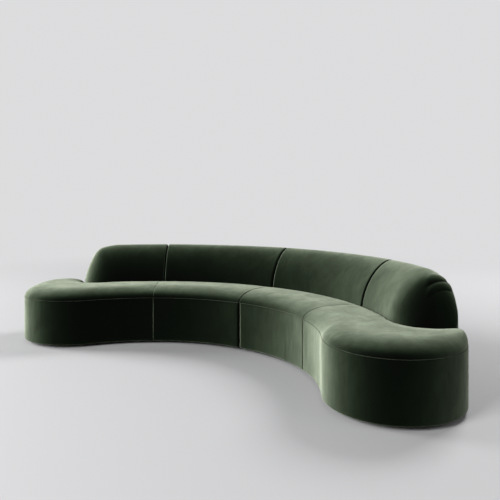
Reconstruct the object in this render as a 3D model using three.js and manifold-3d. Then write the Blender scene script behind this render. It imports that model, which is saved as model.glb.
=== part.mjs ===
// A crescent sofa that comes apart at its middle into two halves.
// Each half stands on glides and has an upholstered base, a crowned seat in two sections and two backs.
// Sizes are in millimetres, +Z is up and +Y points to the back. Plan angles turn from +Y towards +X.

import * as THREE from 'three';
import { mergeVertices } from 'three/addons/utils/BufferGeometryUtils.js';
import Module from 'manifold-3d';

const wasm = await Module();
wasm.setup();

const degree = THREE.MathUtils.DEG2RAD;

// Plan of the whole sofa, about the centre of its curve
const frontRadius = 1172;
const bandDepth = 812;
const wingAngle = 59.6 * degree;
const endReach = 434;
const seamAngle = 35.4 * degree;
const backSeamAngle = 34.5 * degree;
const halfGap = 6;
const backGap = 6;

// Heights: the gap under the base, the seam at its top, the crown above that and the back above the crown
const floorGap = 25;
const weltHeight = 362;
const crown = 78;
const backRise = 287;

// Fits
const clearance = 0.3;
const sewnGap = 0.15;
const footGap = 3;
const overrun = 40;

// Covers and foam
const coverThickness = 3;
const sidePadding = 9;
const softEdge = 14;
const sewnEdge = 12;
const backFoam = 45;

// Seat crown: how far in it takes to rise, and its gutter at the foot of the back
const seatDepth = 448;
const seatRoll = 200;
const gutterRoll = 120;
const gutterDepth = 38;
const endGutterRoll = 250;
const endGutterDepth = 60;
const rearTuck = 14;

// Back: how far below the crown its face starts to lean, the round over its rear edge and its rounded end
const leanDip = 40;
const leanPower = 1.65;
const rearRound = 129;
const backEndAngle = 57.1 * degree;
const shoulder = { reach: 160, crestPower: 2.2, footPower: 1.2, share: 0.75 };
const endFall = { reach: 310, power: 2 };
const faceNose = { reach: 110, power: 2.1 };
const rearNose = { reach: 70, power: 3.4 };

// Timber
const bottomBoard = 15;
const deckBoard = 18;
const wallBoard = 9;
const ribBoard = 18;
const ribPlay = 2.5;
const backShell = 15;
const openingDepth = 290;
const openingMargin = 75;
const strutWidth = 55;
const openingsPerSection = 3;

// Webbing and the cloth under the base
const strapWidth = 60;
const strapThickness = 2;
const strapHold = 30;
const strapShares = [0.2, 0.8];
const dustThickness = 1.5;
const dustSetback = 14;

// Glides
const glideTop = 32;
const glideFoot = 26;
const glideSetback = 120;
const glideRoom = 25;
const glideSides = 20;
const glideTurn = 45 * degree;

// Steel connectors under the break between the halves, and brackets that hold the backs
const jawLength = 95;
const jawPlate = 3;
const jawLip = 70;
const jawMouth = 2;
const tonguePlate = 4;
const tongueReach = 75;
const connectorWidth = 60;
const connectorSetback = 150;
const bracketPlate = 4;
const bracketHeight = 70;
const bracketFoot = 60;
const bracketWidth = 80;

// How finely curves are cut
const middleSteps = 8;
const wingSteps = 6;
const capSteps = 16;
const tuckSteps = 2;
const endSteps = 5;
const shellSteps = 5;
const endShellSteps = 4;
const rollTurns = [0.2, 0.4, 0.6, 0.8, 1];
const foamRollTurns = [0.2, 0.6, 1];
const gutterTurns = [0, 0.3, 0.6, 0.8, 1];
const foamGutterTurns = [0, 0.6, 1];
const leanTurns = [0, 0.12, 0.25, 0.38, 0.52, 0.66, 0.8, 0.92];
const foamLeanTurns = [0, 0.12, 0.38, 0.66, 0.92];
const shellLeanTurns = [0, 0.25, 0.52, 0.8];
const roundTurns = [0, 0.33, 0.66, 1];
const shellRoundTurns = [0, 0.5, 1];
const slopeShares = [0.017, 0.07, 0.16, 0.3, 0.55, 1];
const shellSlopeShares = [0.06, 0.34, 1];
const softTurns = [0, 45 * degree, 90 * degree];
const sewnTurns = [45 * degree, 90 * degree];
const squareTurns = [90 * degree];
const strapSteps = 8;
const holeSteps = 2;

// Sizes that follow from those above
const rearRadius = frontRadius + bandDepth;
const middleRadius = frontRadius + bandDepth / 2;
const faceRadius = frontRadius + seatDepth + footGap;
const crestRadius = rearRadius - rearRound;
const crestReach = crestRadius - faceRadius;
const seatHeight = weltHeight + crown;
const backHeight = seatHeight + backRise;
const leanStart = seatHeight - leanDip;
const padBase = weltHeight + clearance;
const boardInset = sidePadding + clearance;
const dustTop = floorGap + dustThickness;
const boardBottom = dustTop + clearance;
const wallBottom = boardBottom + bottomBoard + clearance;
const deckTop = weltHeight - strapThickness - clearance;
const deckBottom = deckTop - deckBoard;
const wallTop = deckBottom - clearance;
const shellBase = deckTop + clearance;
const foamInset = coverThickness + clearance;
const underside = floorGap - clearance;
const shellInset = foamInset + backFoam + clearance;

// Edges of the sections: the plane each lies on, the side its section is on, and its softness
const breakEdge = { angle: 0, side: 1, gap: halfGap, round: softEdge, turns: softTurns, sunk: true };
const sewnStart = { angle: seamAngle, side: 1, gap: sewnGap, round: sewnEdge, turns: sewnTurns, sunk: false };
const sewnEnd = { ...sewnStart, side: -1 };
const backBreak = { ...breakEdge, gap: backGap };
const backStart = { ...backBreak, angle: backSeamAngle };
const backEnd = { ...backStart, side: -1 };

function polar(radius, angle) {
  return [radius * Math.sin(angle), radius * Math.cos(angle)];
}

function mix(first, last, share) {
  return first + (last - first) * share;
}

// The plan angle at which a circle meets a plane that stands off a radial plane
function turnAt(angle, offset) {
  return (radius) => angle + Math.asin(offset / radius);
}

function power(value, exponent) {
  return Math.sign(value) * Math.abs(value) ** (2 / exponent);
}

// Rows that roll a section over its edge, from the edge inwards
function edgeRows(edge, inset) {
  const sunk = edge.sunk ? inset : 0;
  const round = Math.max(edge.round - sunk, 0);
  const first = Math.cos(edge.turns[0]);
  return edge.turns.map((theta) => ({
    turn: turnAt(edge.angle, edge.side * (edge.gap + sunk + round * (first - Math.cos(theta)))),
    drawn: inset + round * (1 - Math.sin(theta)),
  }));
}

function squareEdge(edge) {
  return { ...edge, turns: squareTurns };
}

// All rows of a section between two edges
function sectionRows(start, end, steps, inset) {
  const first = edgeRows(start, inset);
  const last = edgeRows(end, inset).reverse();
  const from = first[first.length - 1].turn;
  const to = last[0].turn;
  const between = [];
  for (let step = 1; step < steps; step++) {
    const turn = (radius) => mix(from(radius), to(radius), step / steps);
    between.push({ turn, drawn: inset });
  }
  return [...first, ...between, ...last];
}

// A point on the rounded end of the band, where phi runs from its front to its rear
function capPoint(inset, phi) {
  const centre = polar(middleRadius, wingAngle);
  const along = polar(1, wingAngle);
  const across = [along[1], -along[0]];
  const out = (bandDepth / 2 - inset) * Math.sin(phi);
  const reach = (endReach - inset) * Math.cos(phi);
  return [0, 1].map((axis) => centre[axis] + along[axis] * out + across[axis] * reach);
}

function capPoints(inset) {
  const points = [];
  for (let step = 1; step < capSteps; step++) {
    points.push(capPoint(inset, mix(-Math.PI / 2, Math.PI / 2, step / capSteps)));
  }
  return points;
}

function arcPoints(radius, from, to, steps) {
  const points = [];
  for (let step = 0; step <= steps; step++) points.push(polar(radius, mix(from, to, step / steps)));
  return points;
}

function frontPoints(rows) {
  return rows.map((row) => polar(frontRadius + row.drawn, row.turn(frontRadius + row.drawn)));
}

function rearPoints(rows) {
  return rows.map((row) => polar(rearRadius - row.drawn, row.turn(rearRadius - row.drawn)));
}

// From a seam out along the front, round the end and back along the rear
function endPath(rows, inset) {
  const front = frontPoints(rows);
  const rear = rearPoints(rows).reverse();
  const lastFront = rows[rows.length - 1].turn(frontRadius + inset);
  const lastRear = rows[rows.length - 1].turn(rearRadius - inset);
  return [
    ...front,
    ...arcPoints(frontRadius + inset, lastFront, wingAngle, wingSteps).slice(1),
    ...capPoints(inset),
    ...arcPoints(rearRadius - inset, wingAngle, lastRear, wingSteps).slice(0, -1),
    ...rear,
  ];
}

// The outline of one half at a given inset, square at the break
function halfOutline(inset) {
  const rows = sectionRows(squareEdge(breakEdge), { ...squareEdge(sewnEnd), gap: 0 }, middleSteps, inset);
  const endRows = edgeRows({ ...squareEdge(sewnStart), gap: 0 }, inset);
  const middleFront = frontPoints(rows).slice(0, -1);
  const middleRear = rearPoints(rows).slice(0, -1).reverse();
  return [...middleFront, ...endPath(endRows, inset), ...middleRear];
}

// A prism of a plan outline, with holes, between two heights
function prism(outline, bottom, top, holes = []) {
  const shape = new THREE.Shape(outline.map(([x, y]) => new THREE.Vector2(x, y)));
  for (const hole of holes) shape.holes.push(new THREE.Path(hole.map(([x, y]) => new THREE.Vector2(x, y))));
  const geometry = new THREE.ExtrudeGeometry(shape, { depth: top - bottom, bevelEnabled: false });
  return geometry.translate(0, 0, bottom);
}

// A solid under construction, from grids of points whose faces all turn the same way
class Skin {
  constructor() {
    this.points = [];
    this.faces = [];
  }

  grid(rows) {
    return rows.map((row) => row.map((point) => this.points.push(point) - 1));
  }

  face(corners, flipped) {
    const [a, b, c, d] = corners;
    this.faces.push(flipped ? [a, c, b] : [a, b, c]);
    if (d !== undefined) this.faces.push(flipped ? [a, d, c] : [a, c, d]);
  }

  sheet(grid, flipped) {
    for (let i = 0; i + 1 < grid.length; i++) {
      for (let j = 0; j + 1 < grid[i].length; j++) {
        this.face([grid[i][j], grid[i + 1][j], grid[i + 1][j + 1], grid[i][j + 1]], flipped);
      }
    }
  }

  // Closes a row on itself, rung by rung from its foot to its crest
  endWall(row, flipped) {
    const last = row.length - 1;
    for (let j = 0; j + 1 <= last - j - 1; j++) {
      const corners = [row[j], row[j + 1], row[last - j - 1], row[last - j]];
      if (j + 1 === last - j - 1) corners.splice(2, 1);
      this.face(corners, flipped);
    }
  }

  // The open rim of a sheet, in the order in which its faces run
  rim(grid, startClosed, endClosed) {
    const last = grid.length - 1;
    const width = grid[0].length - 1;
    const loop = grid.map((row) => row[0]);
    if (!endClosed) loop.push(...grid[last].slice(1, width));
    loop.push(...grid.map((row) => row[row.length - 1]).reverse());
    if (!startClosed) loop.push(...grid[0].slice(1, width).reverse());
    return loop;
  }

  band(outer, inner) {
    for (let i = 0; i < outer.length; i++) {
      const next = (i + 1) % outer.length;
      this.face([outer[next], outer[i], inner[i], inner[next]], false);
    }
  }

  geometry() {
    let volume = 0;
    for (const [a, b, c] of this.faces) {
      const [p, q, r] = [a, b, c].map((index) => new THREE.Vector3(...this.points[index]));
      volume += p.dot(q.cross(r));
    }
    const faces = volume < 0 ? this.faces.map(([a, b, c]) => [a, c, b]) : this.faces;
    const geometry = new THREE.BufferGeometry();
    geometry.setAttribute('position', new THREE.Float32BufferAttribute(this.points.flat(), 3));
    geometry.setIndex(faces.flat());
    return geometry;
  }
}

// A shell between two stacks of rows, open below, with its ends closed or open
function hood(outerRows, innerRows, startClosed, endClosed) {
  const skin = new Skin();
  const outer = skin.grid(outerRows);
  const inner = skin.grid(innerRows);
  skin.sheet(outer, false);
  skin.sheet(inner, true);
  if (startClosed) {
    skin.endWall(outer[0], false);
    skin.endWall(inner[0], true);
  }
  if (endClosed) {
    skin.endWall(outer[outer.length - 1], true);
    skin.endWall(inner[inner.length - 1], false);
  }
  skin.band(skin.rim(outer, startClosed, endClosed), skin.rim(inner, startClosed, endClosed));
  return skin.geometry();
}

// A solid over a flat base, closed all round
function pad(rows) {
  const skin = new Skin();
  const grid = skin.grid(rows);
  skin.sheet(grid, false);
  skin.endWall(grid[0], false);
  skin.endWall(grid[grid.length - 1], true);
  for (let i = 0; i + 1 < grid.length; i++) {
    const last = grid[i].length - 1;
    skin.face([grid[i + 1][0], grid[i][0], grid[i][last], grid[i + 1][last]], false);
  }
  return skin.geometry();
}

// Solids for joining and cutting
function solidOf(geometry) {
  const bare = geometry.clone();
  bare.deleteAttribute('normal');
  bare.deleteAttribute('uv');
  const merged = mergeVertices(bare);
  const vertProperties = merged.getAttribute('position').array;
  const triVerts = Uint32Array.from(merged.index.array);
  return new wasm.Manifold(new wasm.Mesh({ numProp: 3, vertProperties, triVerts }));
}

function geometryOf(solid) {
  const mesh = solid.getMesh();
  const geometry = new THREE.BufferGeometry();
  geometry.setAttribute('position', new THREE.BufferAttribute(mesh.vertProperties, mesh.numProp));
  geometry.setIndex(new THREE.BufferAttribute(mesh.triVerts, 1));
  return geometry;
}

// Where each seat row starts at the outer edge and ends at the foot of the back
function seatRails(rows) {
  return rows.map(({ turn, drawn }) => {
    const front = frontRadius + drawn;
    const foot = faceRadius - footGap - drawn;
    return { edge: polar(front, turn(front)), foot: polar(foot, turn(foot)), drawn };
  });
}

// The foot of the back round its rounded end, from the front to the rear
function nosePoint(share, inset) {
  const lastShare = (rearRound - rearTuck + inset) / (rearRound + inset);
  const lastPhi = Math.asin(lastShare ** (rearNose.power / 2));
  const phi = mix(-Math.PI / 2, lastPhi, share);
  const { reach, power: bend } = phi < 0 ? faceNose : rearNose;
  const half = (phi < 0 ? crestReach : rearRound) + inset;
  const radius = crestRadius + half * power(Math.sin(phi), bend);
  const inwards = reach - (reach + inset) * power(Math.cos(phi), bend);
  return polar(radius, turnAt(backEndAngle, -inwards)(radius));
}

function endSeatRails(inset) {
  const rows = edgeRows(sewnStart, inset);
  const seam = rows[rows.length - 1].turn;
  const front = frontRadius + inset;
  const foot = faceRadius - footGap - inset;
  const nose = turnAt(backEndAngle, -faceNose.reach)(foot);
  const rails = seatRails(rows);
  for (let step = 1; step < wingSteps; step++) {
    const share = step / wingSteps;
    const edge = polar(front, mix(seam(front), wingAngle, share));
    rails.push({ edge, foot: polar(foot, mix(seam(foot), nose, share)), drawn: inset });
  }
  const last = nosePoint(1, inset + footGap);
  const lastAngle = Math.atan2(last[0], last[1]);
  const edges = [
    polar(front, wingAngle),
    ...capPoints(inset),
    ...arcPoints(rearRadius - inset, wingAngle, lastAngle, tuckSteps),
  ];
  edges.forEach((edge, index) => {
    const share = index / (edges.length - 1);
    const turned = Math.sin(Math.min(2 * share, 1) * Math.PI / 2);
    rails.push({ edge, foot: nosePoint(share, inset + footGap), drawn: inset, turned });
  });
  return rails;
}

// One seat row: up the roll at the edge, across the crown and down into the gutter, which widens as the
// seat turns round the end of the back
function seatRow({ edge, foot, drawn, turned = 0 }, rollList, gutterList) {
  const width = Math.hypot(foot[0] - edge[0], foot[1] - edge[1]);
  const gutterWidth = mix(gutterRoll, endGutterRoll, turned);
  const depth = mix(gutterDepth, endGutterDepth, turned);
  const fullness = Math.min(width / (seatRoll + gutterWidth), 1);
  const swell = Math.sqrt(1 - (1 - fullness) ** 2);
  const rise = crown * swell - drawn;
  const roll = (seatRoll - drawn) * fullness;
  const gutter = (gutterWidth - drawn) * fullness;
  const place = (along, height) => {
    const share = along / width;
    return [mix(edge[0], foot[0], share), mix(edge[1], foot[1], share), height];
  };
  const points = [place(0, padBase)];
  for (const turn of rollList) {
    const phi = turn * Math.PI / 2;
    points.push(place(roll * (1 - Math.cos(phi)), padBase + rise * Math.sin(phi)));
  }
  for (const turn of gutterList) {
    const phi = turn * Math.PI / 2;
    const drop = depth * swell * (1 - Math.cos(phi));
    points.push(place(width - gutter * (1 - Math.sin(phi)), padBase + rise - drop));
  }
  points.push(place(width, padBase));
  return points;
}

function seatCover(rails, innerRails, startClosed) {
  const rows = rails.map((rail) => seatRow(rail, rollTurns, gutterTurns));
  const innerRows = innerRails.map((rail) => seatRow(rail, rollTurns, gutterTurns));
  return hood(rows, innerRows, startClosed, false);
}

function seatFoam(rails) {
  return pad(rails.map((rail) => seatRow(rail, foamRollTurns, foamGutterTurns)));
}

// The back's cross-section at an inset, from the foot of its face over the crest to its rear
function backProfile(inset, base, leanList, roundList) {
  const reach = crestRadius - faceRadius - inset;
  const rise = backHeight - leanStart - inset;
  const round = rearRound - inset;
  const points = [[faceRadius + inset, base]];
  for (const turn of leanList) {
    const phi = turn * Math.PI / 2;
    const radius = crestRadius - reach * power(Math.cos(phi), leanPower);
    points.push([radius, leanStart + rise * power(Math.sin(phi), leanPower)]);
  }
  for (const turn of roundList) {
    const phi = turn * Math.PI / 2;
    points.push([crestRadius + round * Math.sin(phi), backHeight - rearRound + round * Math.cos(phi)]);
  }
  points.push([rearRadius - inset, base]);
  return points;
}

// What is left of a curve's reach, some way in from the tip of the rounded end
function shareLeft({ reach }, inset, inwards) {
  return Math.max(1 - inwards / (reach - inset), 0);
}

// How wide the end is there
function noseGirth(nose, inset, inwards) {
  return (1 - shareLeft(nose, inset, inwards) ** nose.power) ** (1 / nose.power);
}

// How high the end is there: most of it rises over the shoulder, the rest in a long gentle fall
function endRise(inset, inwards) {
  const bend = 1 - shareLeft(shoulder, inset, inwards) ** shoulder.crestPower;
  const fall = 1 - shareLeft(endFall, inset, inwards) ** endFall.power;
  return mix(fall, bend ** (1 / shoulder.footPower), shoulder.share);
}

// Rows that bring the back down and in at its rounded end
function slopeRows(shares, inset) {
  const rows = shares.map((share) => {
    const inwards = share * (endFall.reach - inset);
    return {
      turn: turnAt(backEndAngle, -(inset + inwards)),
      drawn: inset,
      rise: endRise(inset, inwards),
      faceGirth: noseGirth(faceNose, inset, inwards),
      rearGirth: noseGirth(rearNose, inset, inwards),
    };
  });
  return rows.reverse();
}

function backRow({ turn, drawn, rise = 1, faceGirth = 1, rearGirth = 1 }, base, leanList, roundList) {
  return backProfile(drawn, base, leanList, roundList).map(([radius, height]) => {
    const drawnRadius = mix(crestRadius, radius, radius < crestRadius ? faceGirth : rearGirth);
    const drawnHeight = height > padBase ? mix(padBase, height, rise) : height;
    return [...polar(drawnRadius, turn(drawnRadius)), drawnHeight];
  });
}

function endBackRows(edge, steps, shares, inset) {
  const slope = slopeRows(shares, inset);
  const start = edgeRows(edge, inset);
  const from = start[start.length - 1].turn;
  const rows = [...start];
  for (let step = 1; step < steps; step++) {
    rows.push({ turn: (radius) => mix(from(radius), slope[0].turn(radius), step / steps), drawn: inset });
  }
  return [...rows, ...slope];
}

function backCover(rowsAt) {
  const shape = (inset) => rowsAt(inset).map((row) => backRow(row, padBase, leanTurns, roundTurns));
  return hood(shape(0), shape(coverThickness), true, true);
}

function backPad(rowsAt, shellRowsAt) {
  const outer = pad(rowsAt(foamInset).map((row) => backRow(row, padBase, foamLeanTurns, roundTurns)));
  const hollowBase = padBase - overrun;
  const hollowRows = shellRowsAt(shellInset - clearance);
  const hollow = pad(hollowRows.map((row) => backRow(row, hollowBase, shellLeanTurns, shellRoundTurns)));
  return geometryOf(solidOf(outer).subtract(solidOf(hollow)));
}

function backFrame(shellRowsAt) {
  const shape = (inset) => {
    return shellRowsAt(inset).map((row) => backRow(row, shellBase, shellLeanTurns, shellRoundTurns));
  };
  return hood(shape(shellInset), shape(shellInset + backShell), true, true);
}

// Padded side covers: soft outside at the edges, square inside against the timber
function middleSide() {
  const path = (rows) => [...frontPoints(rows).reverse(), ...rearPoints(rows)];
  const outer = path(sectionRows(breakEdge, sewnEnd, middleSteps, 0));
  const inner = path(sectionRows(squareEdge(breakEdge), squareEdge(sewnEnd), middleSteps, sidePadding));
  return prism([...outer, ...inner.reverse()], floorGap, weltHeight);
}

function endSide() {
  const outer = endPath(edgeRows(sewnStart, 0), 0);
  const inner = endPath(edgeRows(squareEdge(sewnStart), sidePadding), sidePadding);
  return prism([...outer, ...inner.reverse()], floorGap, weltHeight);
}

// Openings in the boards, in a row between two radial planes
function openings(fromAngle, toAngle, fromOffset) {
  const inner = frontRadius + boardInset + openingMargin;
  const outer = inner + openingDepth;
  const holes = [];
  for (let index = 0; index < openingsPerSection; index++) {
    const side = (share, offset) => (radius) => {
      const from = turnAt(fromAngle, fromOffset)(radius);
      return mix(from, toAngle, share) + Math.asin(offset / radius);
    };
    const first = side(index / openingsPerSection, strutWidth / 2);
    const last = side((index + 1) / openingsPerSection, -strutWidth / 2);
    holes.push([
      ...arcPoints(inner, first(inner), last(inner), holeSteps),
      ...arcPoints(outer, last(outer), first(outer), holeSteps),
    ]);
  }
  return holes;
}

const boardHoles = [
  ...openings(0, seamAngle, halfGap + boardInset + strutWidth / 2),
  ...openings(seamAngle, wingAngle, 0),
];

function board(bottom, thickness) {
  return prism(halfOutline(boardInset), bottom, bottom + thickness, boardHoles);
}

// A bent wall along the front or the rear, from the break to the rounded end
function curvedWall(outside, inwards) {
  const points = (radius) => {
    const start = turnAt(0, halfGap + boardInset)(radius);
    const end = turnAt(wingAngle, -clearance)(radius);
    return [
      ...arcPoints(radius, start, seamAngle, middleSteps),
      ...arcPoints(radius, seamAngle, end, wingSteps).slice(1),
    ];
  };
  const inside = outside + inwards * wallBoard;
  return prism([...points(outside), ...points(inside).reverse()], wallBottom, wallTop);
}

function endWall() {
  const points = (inset) => [
    polar(frontRadius + inset, wingAngle),
    ...capPoints(inset),
    polar(rearRadius - inset, wingAngle),
  ];
  return prism([...points(boardInset), ...points(boardInset + wallBoard).reverse()], wallBottom, wallTop);
}

// A straight board across the base, along a radial plane
function rib(angle, from, to) {
  const front = frontRadius + boardInset + wallBoard + ribPlay;
  const rear = rearRadius - boardInset - wallBoard - ribPlay;
  const corner = (radius, offset) => polar(radius, turnAt(angle, offset)(radius));
  const outline = [corner(front, from), corner(rear, from), corner(rear, to), corner(front, to)];
  return prism(outline, wallBottom, wallTop);
}

// Elastic straps over the openings, joined where they cross
function webbing() {
  const inner = frontRadius + boardInset + openingMargin;
  const outer = inner + openingDepth;
  const bottom = weltHeight - strapThickness;
  const strips = [];
  for (const hole of boardHoles) {
    const [x, y] = hole[holeSteps / 2];
    const angle = Math.atan2(x, y);
    const corner = (radius, offset) => polar(radius, turnAt(angle, offset)(radius));
    const half = strapWidth / 2;
    const outline = [
      corner(inner - strapHold, -half),
      corner(outer + strapHold, -half),
      corner(outer + strapHold, half),
      corner(inner - strapHold, half),
    ];
    strips.push(prism(outline, bottom, weltHeight));
  }
  for (const share of strapShares) {
    const middle = mix(inner, outer, share);
    const start = turnAt(0, halfGap + boardInset + strapHold)(middle);
    const near = arcPoints(middle - strapWidth / 2, start, wingAngle, strapSteps);
    const far = arcPoints(middle + strapWidth / 2, start, wingAngle, strapSteps);
    strips.push(prism([...near, ...far.reverse()], bottom, weltHeight));
  }
  return geometryOf(strips.map(solidOf).reduce((joined, strip) => joined.add(strip)));
}

function glide([x, y]) {
  const geometry = new THREE.CylinderGeometry(glideTop, glideFoot, underside, glideSides);
  return geometry.rotateX(Math.PI / 2).translate(x, y, underside / 2);
}

// The inner glides stand clear of the connectors
const glideFromBreak = turnAt(0, halfGap + jawLength + glideRoom + glideTop);
const glidePlaces = {
  front_centre: polar(frontRadius + glideSetback, glideFromBreak(frontRadius + glideSetback)),
  rear_centre: polar(rearRadius - glideSetback, glideFromBreak(rearRadius - glideSetback)),
  rear_middle: polar(rearRadius - glideSetback, seamAngle),
  front_end: capPoint(glideSetback, -glideTurn),
  rear_end: capPoint(glideSetback, glideTurn),
};

// A bent steel plate, from its outline in X and Z and its place along Y
function bentPlate(outline, along) {
  const shape = new THREE.Shape(outline.map(([x, z]) => new THREE.Vector2(x, z)));
  const geometry = new THREE.ExtrudeGeometry(shape, { depth: connectorWidth, bevelEnabled: false });
  return geometry.rotateX(Math.PI / 2).translate(0, along + connectorWidth / 2, 0);
}

const mouthTop = underside - jawPlate;
const tongueTop = mouthTop - clearance;
const mouthBottom = tongueTop - tonguePlate - clearance;

function jaw(along) {
  const back = -halfGap - jawLength;
  const inside = back + jawPlate;
  const outline = [
    [back, underside],
    [-jawMouth, underside],
    [-jawMouth, mouthTop],
    [inside, mouthTop],
    [inside, mouthBottom],
    [inside + jawLip, mouthBottom],
    [inside + jawLip, mouthBottom - jawPlate],
    [back, mouthBottom - jawPlate],
  ];
  return bentPlate(outline, along);
}

function tongue(along) {
  const end = halfGap + jawLength;
  const outline = [
    [-tongueReach, tongueTop],
    [halfGap, tongueTop],
    [halfGap, underside],
    [end, underside],
    [end, underside - tonguePlate],
    [halfGap + tonguePlate, underside - tonguePlate],
    [halfGap + tonguePlate, tongueTop - tonguePlate],
    [-tongueReach, tongueTop - tonguePlate],
  ];
  return bentPlate(outline, along);
}

// An angle bracket on the deck, against the inside of a back's shell, between two of its rows
function bracket(rows, index) {
  const radius = rearRadius - shellInset - backShell;
  const [first, last] = [rows[index], rows[index + 1]].map(({ turn }) => polar(radius, turn(radius)));
  const out = new THREE.Vector3(first[1] - last[1], last[0] - first[0], 0).normalize();
  const up = new THREE.Vector3(0, 0, 1);
  const along = new THREE.Vector3().crossVectors(out, up);
  const foot = deckTop + clearance;
  const outline = [
    [-clearance, foot],
    [-clearance, foot + bracketHeight],
    [-clearance - bracketPlate, foot + bracketHeight],
    [-clearance - bracketPlate, foot + bracketPlate],
    [-clearance - bracketFoot, foot + bracketPlate],
    [-clearance - bracketFoot, foot],
  ];
  const shape = new THREE.Shape(outline.map(([x, z]) => new THREE.Vector2(x, z)));
  const geometry = new THREE.ExtrudeGeometry(shape, { depth: bracketWidth, bevelEnabled: false });
  geometry.translate(0, 0, -bracketWidth / 2);
  geometry.applyMatrix4(new THREE.Matrix4().makeBasis(out, up, along));
  return geometry.translate((first[0] + last[0]) / 2, (first[1] + last[1]) / 2, 0);
}

// The rows of the two kinds of back, for their covers and for the shells inside
const middleBack = (inset) => sectionRows(backBreak, backEnd, middleSteps, inset);
const middleShell = (inset) => sectionRows(squareEdge(backBreak), squareEdge(backEnd), shellSteps, inset);
const endBack = (inset) => endBackRows(backStart, endSteps, slopeShares, inset);
const endShell = (inset) => endBackRows(squareEdge(backStart), endShellSteps, shellSlopeShares, inset);
const middleSeat = (inset) => seatRails(sectionRows(breakEdge, sewnEnd, middleSteps, inset));
const bracketInset = shellInset + backShell;
const middleBracketRow = (shellSteps - 1) / 2;
const endBracketRow = 1;

const looks = {
  velvet: { color: 0x56664f, roughness: 0.85, metalness: 0 },
  foam: { color: 0xe6dcb8, roughness: 0.95, metalness: 0 },
  plywood: { color: 0xc79f6b, roughness: 0.7, metalness: 0 },
  webbing: { color: 0x2b2d30, roughness: 0.9, metalness: 0 },
  cloth: { color: 0x151515, roughness: 0.95, metalness: 0 },
  plastic: { color: 0x101010, roughness: 0.5, metalness: 0 },
  steel: { color: 0xb4b7ba, roughness: 0.35, metalness: 1 },
};

// Everything that both halves have, as it stands on the right
const halfParts = [
  ['dust_cover', 'cloth', prism(halfOutline(dustSetback), floorGap, dustTop)],
  ['bottom_board', 'plywood', board(boardBottom, bottomBoard)],
  ['front_wall', 'plywood', curvedWall(frontRadius + boardInset, 1)],
  ['rear_wall', 'plywood', curvedWall(rearRadius - boardInset, -1)],
  ['end_wall', 'plywood', endWall()],
  ['centre_bulkhead', 'plywood', rib(0, halfGap + boardInset, halfGap + boardInset + ribBoard)],
  ['seam_rib', 'plywood', rib(seamAngle, -ribBoard / 2, ribBoard / 2)],
  ['deck_board', 'plywood', board(deckBottom, deckBoard)],
  ['seat_webbing', 'webbing', webbing()],
  ...Object.entries(glidePlaces).map(([place, point]) => [`glide_${place}`, 'plastic', glide(point)]),
  ['side_cover_middle', 'velvet', middleSide()],
  ['side_cover_end', 'velvet', endSide()],
  ['seat_foam_middle', 'foam', seatFoam(middleSeat(foamInset))],
  ['seat_foam_end', 'foam', seatFoam(endSeatRails(foamInset))],
  ['seat_cover_middle', 'velvet', seatCover(middleSeat(0), middleSeat(coverThickness), true)],
  ['seat_cover_end', 'velvet', seatCover(endSeatRails(0), endSeatRails(coverThickness), false)],
  ['back_bracket_middle', 'steel', bracket(middleShell(bracketInset), middleBracketRow)],
  ['back_bracket_end', 'steel', bracket(endShell(bracketInset), endBracketRow)],
  ['back_frame_middle', 'plywood', backFrame(middleShell)],
  ['back_frame_end', 'plywood', backFrame(endShell)],
  ['back_foam_middle', 'foam', backPad(middleBack, middleShell)],
  ['back_foam_end', 'foam', backPad(endBack, endShell)],
  ['back_cover_middle', 'velvet', backCover(middleBack)],
  ['back_cover_end', 'velvet', backCover(endBack)],
];

function mirrored(geometry) {
  const copy = (geometry.index ? geometry.toNonIndexed() : geometry.clone()).scale(-1, 1, 1);
  const position = copy.getAttribute('position');
  const swap = new THREE.Vector3();
  const other = new THREE.Vector3();
  for (let face = 0; face < position.count; face += 3) {
    swap.fromBufferAttribute(position, face + 1);
    other.fromBufferAttribute(position, face + 2);
    position.setXYZ(face + 1, other.x, other.y, other.z);
    position.setXYZ(face + 2, swap.x, swap.y, swap.z);
  }
  return copy;
}

function piece(name, look, geometry) {
  const mesh = new THREE.Mesh(geometry, new THREE.MeshStandardMaterial(looks[look]));
  mesh.name = name;
  mesh.geometry.computeVertexNormals();
  return mesh;
}

const rightHalf = new THREE.Group();
const leftHalf = new THREE.Group();
for (const [name, look, geometry] of halfParts) {
  rightHalf.add(piece(`right_${name}`, look, geometry));
  leftHalf.add(piece(`left_${name}`, look, mirrored(geometry)));
}

const connectorPlaces = { front: frontRadius + connectorSetback, rear: rearRadius - connectorSetback };
for (const [place, along] of Object.entries(connectorPlaces)) {
  leftHalf.add(piece(`connector_jaw_${place}`, 'steel', jaw(along)));
  rightHalf.add(piece(`connector_tongue_${place}`, 'steel', tongue(along)));
}

// The origin is on the floor under the middle of the sofa
const halves = new THREE.Group();
halves.add(leftHalf, rightHalf);
const box = new THREE.Box3().setFromObject(halves);
halves.position.y = -(box.min.y + box.max.y) / 2;

const sofa = new THREE.Group();
sofa.add(halves);

export default sofa;
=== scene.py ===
# %% [markdown]
# # A crescent sofa in green velvet
#
# The sofa is a band of seat, bent round an open bay, with a low back along its outside. It comes
# apart in the middle, and each half has two seat cushions, two padded side walls and two backs.
# All sizes are in metres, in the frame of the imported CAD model: +X runs along the sofa, +Y points
# to its back, +Z is up, and the floor is at zero. The plain solids give the places, and each soft
# piece here takes the place of the solids that it names.

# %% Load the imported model
from math import asin, cos, pi, radians, sin, sqrt

import bmesh
import bpy
import numpy as np
from mathutils import Matrix, Vector


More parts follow.
